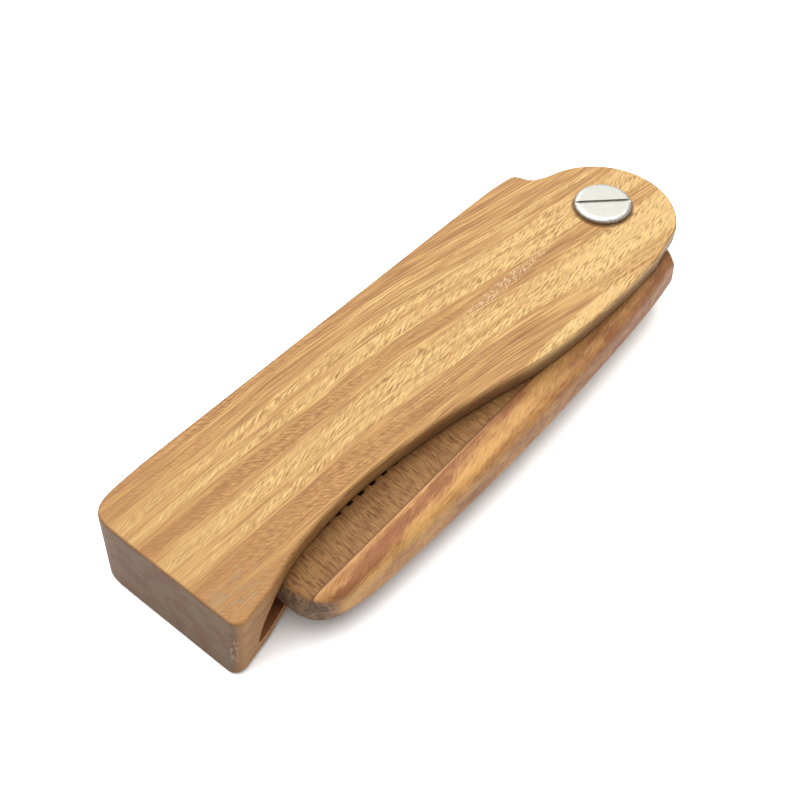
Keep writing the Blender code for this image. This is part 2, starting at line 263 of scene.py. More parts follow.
def add_object(name, mesh_data, material=None):
    mesh = bpy.data.meshes.new(name)
    mesh_data.to_mesh(mesh)
    mesh_data.free()
    obj = bpy.data.objects.new(name, mesh)
    bpy.context.scene.collection.objects.link(obj)
    if material:
        mesh.materials.append(material)
    mesh.shade_smooth()
    return obj


def extruded(name, corners, step):
    """A prism from a closed run of corners, drawn out along a step."""
    solid = bmesh.new()
    base = solid.faces.new([solid.verts.new(corner) for corner in corners])
    drawn = bmesh.ops.extrude_face_region(solid, geom=[base])["geom"]
    far = [item for item in drawn if isinstance(item, bmesh.types.BMVert)]
    bmesh.ops.translate(solid, verts=far, vec=step)
    bmesh.ops.recalc_face_normals(solid, faces=solid.faces)
    return add_object(name, solid)


def prism(name, outline, low, high):
    return extruded(name, [place(x, y, low) for x, y in outline], (0, 0, high - low))


def joined(name, parts):
    """One mesh from several cutters."""
    solid = bmesh.new()
    for part in parts:
        solid.from_mesh(part.data)
        bpy.data.objects.remove(part)
    return add_object(name, solid)


def turned(name, profile, material):
    """A body turned about the pivot axis. The profile runs from the axis round to the axis again."""
    solid = bmesh.new()
    points = [solid.verts.new(place(PIVOT[0] + r, PIVOT[1], z)) for r, z in profile]
    edges = [solid.edges.new(pair) for pair in zip(points, points[1:])]
    bmesh.ops.spin(solid, geom=points + edges, cent=place(*PIVOT, 0), axis=(0, 0, 1),
                   angle=math.tau, steps=ROUND_STEPS, use_merge=True)
    bmesh.ops.remove_doubles(solid, verts=solid.verts, dist=MERGE)
    bmesh.ops.recalc_face_normals(solid, faces=solid.faces)
    return add_object(name, solid, material)


def cut(obj, cutter, operation="DIFFERENCE"):
    modifier = obj.modifiers.new(cutter.name, "BOOLEAN")
    modifier.operation = operation
    modifier.solver = "EXACT"
    modifier.object = cutter


def settle(obj, sharp=WOOD_SHARP_ANGLE):
    """Applies the modifiers, removes the cutters and gives the final mesh even shading."""
    cutters = [m.object for m in obj.modifiers if m.type == "BOOLEAN"]
    graph = bpy.context.evaluated_depsgraph_get()
    mesh = bpy.data.meshes.new_from_object(obj.evaluated_get(graph))
    mesh.name = obj.name
    old = obj.data
    obj.modifiers.clear()
    obj.data = mesh
    bpy.data.meshes.remove(old)
    for cutter in cutters:
        bpy.data.objects.remove(cutter)
    mesh.shade_smooth()
    mesh.set_sharp_from_angle(angle=math.radians(sharp))
    shading = obj.modifiers.new("even_shading", "WEIGHTED_NORMAL")
    shading.keep_sharp = True
    return obj


def outward(outline, i):
    """The mitred outward normal at one corner of an anticlockwise outline."""
    before = Vector(outline[i]) - Vector(outline[i - 1])
    after = Vector(outline[(i + 1) % len(outline)]) - Vector(outline[i])
    sides = [Vector((edge.y, -edge.x)).normalized() for edge in (before, after)]
    middle = (sides[0] + sides[1]).normalized()
    return middle / middle.dot(sides[0])


def rounded_slab(name, outline, low, high, under_edge, top_edge, material):
    """A slab whose rims are rounded. under_edge and top_edge give the radius at a point of the outline."""
    normals = [outward(outline, i) for i in range(len(outline))]
    quarter = [math.radians(90 * i / EDGE_STEPS) for i in range(EDGE_STEPS + 1)]
    levels = [(low, 1, under_edge, angle) for angle in quarter]
    levels += [(high, -1, top_edge, angle) for angle in reversed(quarter)]
    solid = bmesh.new()
    rings = []
    for face_z, inward, edge, angle in levels:
        ring = []
        for (x, y), normal in zip(outline, normals):
            radius = edge(x, y)
            inset = radius * (1 - math.sin(angle))
            z = face_z + inward * radius * (1 - math.cos(angle))
            ring.append(solid.verts.new(place(x - normal.x * inset, y - normal.y * inset, z)))
        rings.append([solid.edges.new((ring[i - 1], ring[i])) for i in range(len(ring))])
        if len(rings) == 1 or len(rings) == len(levels):
            solid.faces.new(ring)
    for lower, upper in zip(rings, rings[1:]):
        bmesh.ops.bridge_loops(solid, edges=lower + upper)
    bmesh.ops.recalc_face_normals(solid, faces=solid.faces)
    return add_object(name, solid, material)


def pivot_hole(name):
    return prism(name, arc(PIVOT, HOLE_RADIUS, 0, 360, ROUND_STEPS)[:-1], -REACH, HANDLE_THICK + REACH)


def drive_slot(name, angle, low, high):
    """A cutter for a screwdriver slot across a head."""
    turn = Matrix.Rotation(math.radians(angle), 2)
    half = DRIVE_SLOT_WIDTH / 2
    corners = [(-REACH, -half), (REACH, -half), (REACH, half), (-REACH, half)]
    outline = [tuple(Vector(PIVOT) + turn @ Vector(corner)) for corner in corners]
    return prism(name, outline, low, high)


# ---------------------------------------------------------------- material nodes


class Graph:
    """A material's node tree, with short calls for the nodes that the materials here are made of."""

    def __init__(self, name):
        self.material = bpy.data.materials.new(name)
        self.material.use_nodes = True
        self.tree = self.material.node_tree
        self.shader = self.tree.nodes["Principled BSDF"]
        coordinates = self.tree.nodes.new("ShaderNodeTexCoord").outputs
        shift = (HANDLE_LENGTH / 2 / MM, -FOLDED_WIDTH / 2 / MM, -BELOW_HANDLE / MM)
        scaled = self.vector("MULTIPLY_ADD", coordinates["Object"], (1000.0, 1000.0, 1000.0), shift)
        self.x, self.y, self.z = self.parts(scaled)
        self.normal_x, self.normal_y, self.normal_z = self.parts(coordinates["Normal"])

    def put(self, socket, value):
        if isinstance(value, bpy.types.NodeSocket):
            self.tree.links.new(value, socket)
        else:
            socket.default_value = value

    def math(self, operation, a, b=0.0, c=0.0):
        node = self.tree.nodes.new("ShaderNodeMath")
        node.operation = operation
        for socket, value in zip(node.inputs, (a, b, c)):
            self.put(socket, value)
        return node.outputs[0]

    def add(self, *values):
        total = values[0]
        for value in values[1:]:
            total = self.math("ADD", total, value)
        return total

    def times(self, a, b):
        return self.math("MULTIPLY", a, b)

    def scaled(self, value, factor, offset=0.0):
        return self.math("MULTIPLY_ADD", value, factor, offset)

    def vector(self, operation, a, b, c=(0.0, 0.0, 0.0)):
        node = self.tree.nodes.new("ShaderNodeVectorMath")
        node.operation = operation
        for socket, value in zip(node.inputs, (a, b, c)):
            self.put(socket, value)
        return node.outputs[0]

    def parts(self, vector):
        node = self.tree.nodes.new("ShaderNodeSeparateXYZ")
        self.put(node.inputs[0], vector)
        return node.outputs

    def point(self, x, y, z):
        node = self.tree.nodes.new("ShaderNodeCombineXYZ")
        for socket, value in zip(node.inputs, (x, y, z)):
            self.put(socket, value)
        return node.outputs[0]

    def step(self, value, low, high):
        """A smooth step from 0 at low to 1 at high. low may be the larger of the two."""
        node = self.tree.nodes.new("ShaderNodeMapRange")
        node.interpolation_type = "SMOOTHSTEP"
        rising = low < high
        self.put(node.inputs["Value"], value)
        self.put(node.inputs["From Min"], min(low, high))
        self.put(node.inputs["From Max"], max(low, high))
        self.put(node.inputs["To Min"], 0.0 if rising else 1.0)
        self.put(node.inputs["To Max"], 1.0 if rising else 0.0)
        return node.outputs["Result"]

    def noise(self, x, y, z, size, detail=2.0, roughness=0.5):
        """Noise whose features are about size = (x, y, z) millimetres."""
        node = self.tree.nodes.new("ShaderNodeTexNoise")
        where = self.point(self.scaled(x, 1 / size[0]), self.scaled(y, 1 / size[1]),
                           self.scaled(z, 1 / size[2]))
        self.put(node.inputs["Vector"], where)
        self.put(node.inputs["Scale"], 1.0)
        self.put(node.inputs["Detail"], detail)
        self.put(node.inputs["Roughness"], roughness)
        return node.outputs[0]

    def tilted_noise(self, x, y, z, degrees, size, detail=2.0):
        """Noise stretched along a line at an angle to x in the x-y plane."""
        cosine = math.cos(math.radians(degrees))
        sine = math.sin(math.radians(degrees))
        along = self.add(self.scaled(x, cosine), self.scaled(y, sine))
        across = self.add(self.scaled(x, -sine), self.scaled(y, cosine))
        return self.noise(along, across, z, size, detail)

    def curve(self, value, low, high, stops):
        """A smooth grey profile: stops are (place between low and high, value)."""
        node = self.tree.nodes.new("ShaderNodeValToRGB")
        node.color_ramp.interpolation = "EASE"
        elements = node.color_ramp.elements
        while len(elements) < len(stops):
            elements.new(0.5)
        for element, (where, level) in zip(elements, sorted(stops)):
            element.position = (where - low) / (high - low)
            element.color = (level, level, level, 1.0)
        self.put(node.inputs[0], self.scaled(value, 1 / (high - low), -low / (high - low)))
        return self.grey(node.outputs[0])

    def grey(self, colour):
        node = self.tree.nodes.new("ShaderNodeRGBToBW")
        self.put(node.inputs[0], colour)
        return node.outputs[0]

    def mix(self, factor, a, b, blend="MIX"):
        node = self.tree.nodes.new("ShaderNodeMix")
        node.data_type = "RGBA"
        node.blend_type = blend
        self.put(node.inputs["Factor"], factor)
        for socket, value in zip((node.inputs[6], node.inputs[7]), (a, b)):
            self.put(socket, value if isinstance(value, bpy.types.NodeSocket) else (*value, 1.0))
        return node.outputs[2]

    def spot(self, x, y, radius_x, radius_y):
        """One inside an oval patch on the plan, fading to zero at its rim."""
        across = self.scaled(self.x, 1 / radius_x, -x / radius_x)
        up = self.scaled(self.y, 1 / radius_y, -y / radius_y)
        distance = self.add(self.times(across, across), self.times(up, up))
        return self.step(distance, 1.0, 0.25)

    def radius(self, x, y):
        """The distance in plan from a point."""
        across = self.scaled(self.x, 1.0, -x)
        up = self.scaled(self.y, 1.0, -y)
        return self.math("SQRT", self.add(self.times(across, across), self.times(up, up)))

    def finish(self, colour, roughness, height, depth, strength=1.0):
        """Joins the colour, the roughness and a bump of the given depth in millimetres."""
        bump = self.tree.nodes.new("ShaderNodeBump")
        self.put(bump.inputs["Height"], height)
        self.put(bump.inputs["Distance"], depth * MM)
        self.put(bump.inputs["Strength"], strength)
        self.put(self.shader.inputs["Base Color"], colour)
        self.put(self.shader.inputs["Roughness"], roughness)
        self.put(self.shader.inputs["Normal"], bump.outputs[0])
        return self.material


# ---------------------------------------------------------------- materials

GOLD = (0.350, 0.228, 0.090)
TAN = (0.258, 0.142, 0.049)
ROSE = (0.200, 0.094, 0.031)
# Dark brown of pores and grain lines, also used for the painted shade along the slot's upper lip and the
# painted shadow round the screw head.
PORE_AND_SHADE = (0.075, 0.029, 0.008)
PALE = (0.40, 0.30, 0.18)
END_GREY = (0.092, 0.057, 0.032)
END_BROWN = (0.084, 0.041, 0.021)
END_DARK = (0.045, 0.023, 0.012)
ARRIS = (0.150, 0.072, 0.024)
# Dark brown for the painted shade on the handle's side walls.
WALL_SHADE = (0.100, 0.046, 0.018)
SCUFF = (0.17, 0.125, 0.075)
END_SCUFF = (0.23, 0.19, 0.145)
SLOT_BROWN = (0.190, 0.064, 0.023)
WOOD_SPECULAR = 0.14
TEETH_SPECULAR = 0.12

# The handle's growth bands across its width: (y in plan millimetres, lightness)
HANDLE_BANDS = [(-34, 0.30), (-29.5, 0.24), (-27.8, 0.45), (-26.5, 0.20), (-23.6, 0.18), (-22.5, 0.42),
                (-21.4, 0.92), (-19.7, 0.68), (-18.0, 0.98), (-16.2, 0.80), (-15.2, 0.52), (-14.3, 0.20),
                (-12.9, 0.10), (-11.8, 0.42), (-10.0, 0.98), (-8.6, 0.55), (-7.1, 0.92), (-5.6, 0.58),
                (-3.7, 0.24), (-2.6, 0.58), (-1.2, 0.20), (0, 0.25)]
BEND_START_X = 40.0
BEND_END_X = 130.0
BEND_DROP = 9.0
HANDLE_BAND_DEPTH = 0.45
# Centre of the painted shadow ring round the screw head, set a little towards the base end and the front.
HEAD_SHADOW_CENTRE = (PIVOT[0] / MM - 0.25, PIVOT[1] / MM - 0.15)


def handle_figure(g):
    """A line across the growth bands, which bend down towards the pivot end, and the band's lightness."""
    bend = g.scaled(g.step(g.x, BEND_START_X, BEND_END_X), BEND_DROP)
    drift = g.scaled(g.noise(g.x, g.y, g.z, (26, 7, 7), 2), 2.0, -1.0)
    ragged = g.scaled(g.noise(g.x, g.y, g.z, (9, 1.0, 1.0), 3), 1.8, -0.9)
    depth = g.scaled(g.z, HANDLE_BAND_DEPTH, -HANDLE_BAND_DEPTH * HANDLE_THICK / MM)
    across_bands = g.add(g.y, bend, drift, depth)
    flame = g.scaled(g.tilted_noise(g.x, across_bands, g.z, 9, (5.0, 0.5, 0.8), 2), 2.2, -1.1)
    band = g.curve(g.add(across_bands, ragged, flame), -34, 0, HANDLE_BANDS)
    contrast = g.scaled(g.x, -0.0008, 0.86)
    lift = g.scaled(g.x, 0.0032, -0.05)
    light_rim = g.scaled(g.spot(80.0, -32.8, 17.0, 1.7), 0.75)
    light_end = g.scaled(g.spot(104.0, -30.0, 24.0, 9.0), 0.30, -0.05)
    return across_bands, g.add(g.times(band, contrast), lift, light_rim, light_end)


def handle_fibres(g, across_bands, band, straight):
    """Fibres that rise in the light bands, fall in the dark ones and run straight between them and on
    the sides, and how strongly they show."""
    broadside = g.step(g.math("ABSOLUTE", g.normal_z), 0.55, 0.85)
    rising = g.tilted_noise(g.x, across_bands, g.z, 20, (2.0, 0.30, 0.5), 3)
    falling = g.tilted_noise(g.x, across_bands, g.z, -34, (1.3, 0.36, 0.5), 2)
    patches = g.step(g.noise(g.x, across_bands, g.z, (9, 2.5, 2.5), 2), 0.38, 0.60)
    in_light = g.times(g.step(band, 0.40, 0.80), broadside)
    in_dark = g.times(g.step(band, 0.36, 0.10), broadside)
    plain = g.math("SUBTRACT", 1.0, g.math("MAXIMUM", in_light, in_dark))
    fibre = g.add(g.times(rising, in_light), g.times(falling, in_dark), g.times(straight, plain))
    force = g.add(g.times(in_light, g.scaled(patches, 0.6, 0.4)), g.scaled(in_dark, 0.60),
                  g.scaled(plain, 0.35))
    force = g.times(force, g.scaled(g.step(g.x, 3.0, 26.0), 0.60, 0.40))
    return fibre, force


def near_top(g):
    """One at the handle's top face, and zero down its sides and underneath."""
    return g.step(g.z, 14.0, 14.8)


def shaded_walls(g, colour):
    """Painted shade: darkens the top cheek's front wall, the slot's upper lip and the back's top edge."""
    walls = g.step(g.math("ABSOLUTE", g.normal_z), 0.995, 0.92)
    # Painted shade: walls a little darker overall, much darker low on the upper cheek towards the pivot end,
    # and darker near the back's top edge.
    low_cheek_shade = g.times(g.step(g.z, 15.2, 13.0), g.times(g.step(g.z, 8.0, 11.0), g.step(g.x, 30.0, 52.0)))
    back_edge = g.times(g.step(g.y, -2.4, -1.0), near_top(g))
    darkness = g.add(g.scaled(low_cheek_shade, 0.72, 0.12), g.scaled(back_edge, 0.35))
    colour = g.mix(g.times(walls, darkness), colour, WALL_SHADE)
    # Painted shade: a dark line along the foot of the upper cheek's wall, where the slot opens.
    lip = g.times(g.times(g.step(g.z, 12.0, 11.6), g.step(g.z, 11.3, 11.5)), walls)
    return g.mix(g.scaled(lip, 0.6), colour, PORE_AND_SHADE)


def worn_top_and_head_shadow(g, colour, across_bands):
    """Wear on the top: a grey scuff at the front corner and frosted fibres, and a painted shadow round the
    head.
    """
    upper = near_top(g)
    scuff_noise = g.noise(g.x, g.y, g.z, (1.5, 0.9, 0.9), 3)
    scuff = g.times(g.spot(5.0, -28.0, 6.5, 4.2), g.step(scuff_noise, 0.44, 0.66))
    colour = g.mix(g.times(g.scaled(scuff, 0.40), upper), colour, SCUFF)
    frosting = g.tilted_noise(g.x, across_bands, g.z, 38, (1.1, 0.34, 0.5), 4)
    frost = g.times(g.spot(80.0, -17.5, 15.0, 1.3), g.step(frosting, 0.44, 0.66))
    colour = g.mix(g.times(g.scaled(frost, 0.62), upper), colour, PALE)
    # Painted shadow: a dark ring on the top just round the screw head.
    head_shadow = g.times(g.step(g.radius(*HEAD_SHADOW_CENTRE), 5.75, 5.35), upper)
    return g.mix(g.scaled(head_shadow, 0.75), colour, PORE_AND_SHADE)


def base_end_colour(g):
    """Grey and brown end grain, with pale scuffs near the front edge."""
    spots = g.noise(g.x, g.y, g.z, (0.45, 0.45, 0.45), 3)
    cloud = g.noise(g.x, g.y, g.z, (3.5, 4.5, 3), 3)
    colour = g.mix(g.step(cloud, 0.40, 0.58), END_BROWN, END_GREY)
    colour = g.mix(g.scaled(g.step(spots, 0.52, 0.70), 0.35), colour, END_DARK)
    near_front = g.step(g.y, -29.6, -31.4)
    mid_height = g.times(g.step(g.z, 12.0, 8.5), g.step(g.z, 2.0, 5.0))
    scuff_noise = g.noise(g.x, g.y, g.z, (0.5, 0.4, 1.1), 3)
    scuff = g.times(g.step(scuff_noise, 0.48, 0.62), g.times(near_front, mid_height))
    return g.mix(g.scaled(scuff, 0.75), colour, END_SCUFF)


def base_end(g, colour):
    """Lays the end grain over the base end, with a brown line along its edge."""
    facing = g.scaled(g.normal_x, -1.0)
    at_base = g.step(g.x, 3.0, 1.5)
    arris = g.times(g.step(facing, 0.10, 0.60), at_base)
    colour = g.mix(g.scaled(arris, 0.80), colour, ARRIS)
    wander = g.scaled(g.noise(g.x, g.y, g.z, (1.2, 1.2, 1.2), 2), 0.3, -0.15)
    end = g.times(g.step(g.add(facing, wander), 0.52, 0.98), at_base)
    return g.mix(end, colour, base_end_colour(g)), end


def slot_inside(g):
    """One on the cheeks' inner faces, the slot's closed end and the web."""
    flat = g.step(g.math("ABSOLUTE", g.normal_z), 0.3, 0.5)
    slot_end = g.times(g.step(g.normal_x, 0.15, 0.35), g.step(g.x, 15.0, 14.5))
    web_y = -WEB_THICK / MM
    web = g.times(g.step(g.y, web_y - 0.10, web_y - 0.03), g.step(g.y, web_y + 0.10, web_y + 0.03))
    low = CHEEK_THICK / MM
    high = low + SLOT_HEIGHT / MM
    between_cheeks = g.times(g.step(g.z, low - 0.10, low - 0.03), g.step(g.z, high + 0.10, high + 0.03))
    return g.times(g.math("MAXIMUM", g.math("MAXIMUM", flat, slot_end), web), between_cheeks)


def handle_wood():
    """Long-grained wood with an interlocked, ribbon-striped figure, and end grain on the base end."""
    g = Graph("handle_wood")
    across_bands, band = handle_figure(g)
    straight = g.noise(g.x, across_bands, g.z, (11.0, 0.30, 0.34), 3)
    broad = g.noise(g.x, across_bands, g.z, (22.0, 1.1, 0.9), 3)
    fibre, force = handle_fibres(g, across_bands, band, straight)
    calm = g.add(g.scaled(g.step(g.x, 20.0, 80.0), 0.45, 0.55), g.scaled(g.step(g.y, -6.0, -3.0), 0.45))
    streak = g.step(straight, 0.36, 0.66)
    fleck = g.add(g.times(g.scaled(g.step(fibre, 0.34, 0.66), 1.0, -0.5), force), 0.5)
    wide = g.step(broad, 0.34, 0.66)

    runs = g.times(g.add(g.scaled(streak, 0.22, -0.11), g.scaled(wide, 0.30, -0.15)), calm)
    level = g.add(band, g.scaled(fleck, 0.66, -0.33), runs)
    colour = g.mix(g.step(level, -0.1, 0.62), ROSE, TAN)
    colour = g.mix(g.step(level, 0.38, 1.15), colour, GOLD)
    shade = g.add(g.scaled(fleck, 0.40, 0.80), g.scaled(streak, 0.10, -0.05))
    colour = g.mix(1.0, colour, g.point(shade, shade, shade), "MULTIPLY")
    pores = g.times(g.step(fibre, 0.40, 0.31), force)
    colour = g.mix(g.scaled(pores, 0.42), colour, PORE_AND_SHADE)
    lines = g.step(straight, 0.36, 0.28)
    colour = g.mix(g.times(g.scaled(lines, 0.26), calm), colour, PORE_AND_SHADE)

    colour = shaded_walls(g, colour)
    colour = worn_top_and_head_shadow(g, colour, across_bands)
    colour, end = base_end(g, colour)
    colour = g.mix(g.scaled(slot_inside(g), 0.76), colour, SLOT_BROWN)

    roughness = g.add(g.scaled(fleck, -0.10, 0.55), g.scaled(end, 0.10))
    height = g.add(g.scaled(fleck, 0.6), g.scaled(streak, 0.15), g.scaled(pores, -0.6))
    g.put(g.shader.inputs["Specular IOR Level"], WOOD_SPECULAR)
    return g.finish(colour, roughness, height, 0.04, 0.4)


# The spine's streaks, across a line that drifts slowly away from the seam: (millimetres, lightness)
SPINE_BANDS = [(-15, 0.25), (-12, 0.50), (-10, 0.40), (-8.4, 0.65), (-7.0, 0.55), (-6.0, 0.88), (-5.1, 0.95),
               (-4.3, 0.62), (-3.4, 0.22), (-2.1, 0.12), (-1.3, 0.62), (0.0, 0.85), (1.4, 0.30), (4.0, 0.5),
               (8, 0.2), (13, 0.6), (18, 0.25), (25, 0.6)]
SPINE_BAND_DEPTH = 0.75
SPINE_BAND_SLOPE = 0.075
SPINE_BAND_START_X = 25.0
COMB_TOP = (COMB_LOW + COMB_THICK) / MM
SPINE_GOLD = (0.330, 0.178, 0.058)
SPINE_TAN = (0.235, 0.112, 0.038)
SPINE_RED = (0.160, 0.062, 0.022)
# Pale gold for the painted highlight beside the seam.
SPINE_SEAM_HIGHLIGHT = (0.36, 0.21, 0.09)
GLUE_LINE = (0.100, 0.042, 0.014)


def tip_end(g):
    """How far a point faces out of the comb's tip end, where the end grain shows."""
    facing = g.add(g.scaled(g.normal_x, -0.92), g.scaled(g.normal_y, -0.12), g.scaled(g.normal_z, -0.38))
    wander = g.scaled(g.noise(g.x, g.y, g.z, (1.5, 1.5, 1.5), 3), 0.24, -0.12)
    return g.times(g.step(g.add(facing, wander), 0.30, 0.60), g.step(g.x, 24, 17))


TIP_BROWN = (0.065, 0.035, 0.019)
TIP_GREY = (0.130, 0.075, 0.041)
TIP_PALE = (0.23, 0.165, 0.11)
TIP_DARK = (0.022, 0.012, 0.008)


def tip_end_colour(g):
    """Grey-brown end grain, with pale and dark specks."""
    spots = g.noise(g.x, g.y, g.z, (0.5, 0.5, 0.5), 3)
    cloud = g.noise(g.x, g.y, g.z, (2.2, 2.2, 2.2), 3)
    colour = g.mix(g.step(cloud, 0.35, 0.62), TIP_BROWN, TIP_GREY)
    colour = g.mix(g.scaled(g.step(spots, 0.52, 0.70), 0.38), colour, TIP_PALE)
    return g.mix(g.scaled(g.step(spots, 0.44, 0.34), 0.6), colour, TIP_DARK)


def spine_wood():
    """Orange, long-grained wood with reddish streaks, and end grain on the comb's tip end."""
    g = Graph("spine_wood")
    seam = g.scaled(g.x, SEAM_SLOPE, SEAM_TIP_Y / MM - SEAM_SLOPE * COMB_TIP_X / MM)
    from_seam = g.math("SUBTRACT", g.y, seam)
    drift = g.scaled(g.noise(g.x, g.y, g.z, (16, 3, 3), 2), 1.8, -0.9)
    ragged = g.scaled(g.noise(g.x, g.y, g.z, (10, 1.2, 1.2), 3), 2.2, -1.1)
    depth = g.scaled(g.z, SPINE_BAND_DEPTH, -SPINE_BAND_DEPTH * COMB_TOP)
    slope = g.scaled(g.x, -SPINE_BAND_SLOPE, SPINE_BAND_SLOPE * SPINE_BAND_START_X)
    across_bands = g.add(from_seam, drift, depth, slope)
    band = g.curve(g.add(across_bands, ragged), -15, 25, SPINE_BANDS)
    fibre = g.tilted_noise(g.x, across_bands, g.z, 14, (2.0, 0.26, 0.4), 3)
    straight = g.noise(g.x, across_bands, g.z, (9.0, 0.40, 0.5), 3)
    fleck = g.step(fibre, 0.30, 0.70)
    streak = g.step(straight, 0.36, 0.66)
    tip_blush = g.times(g.step(g.x, 34, 20), g.step(from_seam, -2.2, -1.4))
    cloud = g.noise(g.x, g.y, g.z, (4.5, 2.0, 2.0), 3)
    clouds = g.scaled(g.step(cloud, 0.30, 0.70), 0.44, -0.24)
    redder_heel = g.scaled(g.step(g.x, 62.0, 88.0), -0.26)
    level = g.add(band, g.scaled(fleck, 0.20, -0.10), g.scaled(streak, 0.22, -0.11),
                  g.scaled(tip_blush, -0.10), clouds, redder_heel)
    colour = g.mix(g.step(level, 0.0, 0.55), SPINE_RED, SPINE_TAN)
    colour = g.mix(g.step(level, 0.40, 1.05), colour, SPINE_GOLD)
    shade = g.scaled(fleck, 0.16, 0.92)
    colour = g.mix(1.0, colour, g.point(shade, shade, shade), "MULTIPLY")
    pores = g.step(fibre, 0.37, 0.28)
    colour = g.mix(g.scaled(pores, 0.26), colour, PORE_AND_SHADE)
    # Painted highlight: a pale band on the spine just beside the seam, towards the tip end, where the
    # spine's inner edge catches the light.
    lip = g.times(g.step(from_seam, -0.66, -0.46), g.step(g.x, 60, 48))
    colour = g.mix(g.scaled(lip, 0.40), colour, SPINE_SEAM_HIGHLIGHT)
    glue = g.step(from_seam, -0.34, -0.22)
    colour = g.mix(g.scaled(glue, 0.85), colour, GLUE_LINE)
    colour = g.mix(tip_end(g), colour, tip_end_colour(g))
    roughness = g.scaled(fleck, -0.10, 0.52)
    height = g.add(g.scaled(fleck, 0.6), g.scaled(streak, 0.3))
    g.put(g.shader.inputs["Specular IOR Level"], WOOD_SPECULAR)
    return g.finish(colour, roughness, height, 0.03, 0.4)


TEETH_LIGHT = (0.215, 0.112, 0.040)
TEETH_MID = (0.152, 0.073, 0.025)
TEETH_DARK = (0.092, 0.038, 0.012)


def teeth_wood():
    """Wood whose grain runs along the teeth, with fine dark hatching."""
    g = Graph("teeth_wood")
    slant = g.add(g.x, g.scaled(g.y, -0.09), g.scaled(g.noise(g.x, g.y, g.z, (9, 7, 7), 2), 0.9))
    hatch = g.noise(slant, g.y, g.z, (0.22, 2.0, 0.6), 2)
    fine = g.noise(slant, g.y, g.z, (0.13, 0.9, 0.4), 2)
    cloud = g.noise(g.x, g.y, g.z, (7, 2.2, 2.2), 3)
    level = g.add(g.scaled(g.step(hatch, 0.30, 0.70), 0.50, 0.14),
                  g.scaled(g.step(fine, 0.3, 0.7), 0.28, -0.12), g.scaled(cloud, 0.7, -0.35))
    colour = g.mix(g.step(level, 0.0, 0.5), TEETH_DARK, TEETH_MID)
    colour = g.mix(g.step(level, 0.35, 1.0), colour, TEETH_LIGHT)
    ticks = g.step(hatch, 0.41, 0.34)
    colour = g.mix(g.scaled(ticks, 0.62), colour, PORE_AND_SHADE)
    # Painted shadow: the blank darker towards the upper cheek's front edge, where it runs in under it.
    cheek_shadow = g.step(g.y, -29.5, -27.0)
    colour = g.mix(g.scaled(cheek_shadow, 0.30), colour, TEETH_DARK)
    colour = g.mix(tip_end(g), colour, tip_end_colour(g))
    roughness = g.scaled(hatch, -0.10, 0.60)
    g.put(g.shader.inputs["Specular IOR Level"], TEETH_SPECULAR)
    return g.finish(colour, roughness, g.step(hatch, 0.3, 0.6), 0.03, 0.4)


NICKEL_DULL = (0.262, 0.258, 0.236)
NICKEL_BRIGHT = (0.292, 0.288, 0.262)
NICKEL_SCRATCH = (0.20, 0.197, 0.18)
# Light nickel for the painted highlight on the heads' rims.
NICKEL_RIM_HIGHLIGHT = (0.40, 0.40, 0.385)


def nickel(name):
    """Satin nickel: turning marks round the pivot, fine scratches, slightly dulled patches and a patchy
    painted highlight round the head's rim.
    """
    g = Graph(name)
    radius = g.radius(PIVOT[0] / MM, PIVOT[1] / MM)
    rings = g.noise(radius, radius, g.z, (0.09, 0.09, 0.09), 2)
    scratches = g.tilted_noise(g.x, g.y, g.z, 48, (2.6, 0.05, 1.0), 2)
    cloud = g.noise(g.x, g.y, g.z, (1.6, 1.6, 1.6), 3)
    colour = g.mix(g.step(cloud, 0.3, 0.7), NICKEL_DULL, NICKEL_BRIGHT)
    colour = g.mix(g.scaled(g.step(scratches, 0.60, 0.72), 0.35), colour, NICKEL_SCRATCH)
    # Painted highlight: a lighter, patchy band round each head's rim, where the bevel reflects the light.
    rim_patches = g.noise(g.x, g.y, g.z, (0.5, 0.5, 0.5), 2)
    rim_highlight = g.times(g.step(radius, 4.1, 4.6), g.step(rim_patches, 0.32, 0.55))
    colour = g.mix(g.scaled(rim_highlight, 0.9), colour, NICKEL_RIM_HIGHLIGHT)
    g.put(g.shader.inputs["Metallic"], 1.0)
    roughness = g.add(g.scaled(cloud, 0.25, 0.28), g.scaled(scratches, 0.1))
    height = g.add(rings, scratches)
    return g.finish(colour, roughness, height, 0.012, 0.5)


PAPER_SHADE = (0.93, 0.93, 0.93)
PAPER_WHITE = (0.95, 0.95, 0.95)


def floor_paper():
    """Matt white paper with a barely visible tooth."""
    g = Graph("floor_paper")
    grain = g.noise(g.x, g.y, g.z, (0.6, 0.6, 0.6), 3)
    colour = g.mix(grain, PAPER_SHADE, PAPER_WHITE)
    return g.finish(colour, 0.9, grain, 0.01, 0.2)


# ---------------------------------------------------------------- pieces


def slot_cutter():
    """The comb's slot, open to the front and the pivot end."""
    return extruded("slot_cutter", [place(x, -WEB_THICK, z) for x, z in slot_outline()],
                    (0, -FOLDED_WIDTH - REACH, 0))


def back_opening_cutter():
    """Where the slot runs out through the back edge, past the end of the web."""
    inner = -WEB_THICK - OPENING_OVERLAP
    outline = [(WEB_END_X, inner), (HANDLE_LENGTH + REACH, inner), (HANDLE_LENGTH + REACH, REACH),
               (WEB_END_X, REACH)]
    return prism("back_opening_cutter", outline, CHEEK_THICK, CHEEK_THICK + SLOT_HEIGHT)


def lean_front(handle):
    """Slopes the front wall in towards the underside, and leaves the top and the back as they are."""
    for vertex in handle.data.vertices:
        point = vertex.co - place(0, 0, 0)
        depth = max(1 - point.z / HANDLE_THICK, 0.0) ** LEAN_POWER
        vertex.co.y += FRONT_LEAN * depth * ease(point.y, LEAN_START_Y, LEAN_FULL_Y)


def handle_top_edge(x, y):
    return HANDLE_TOP_EDGE


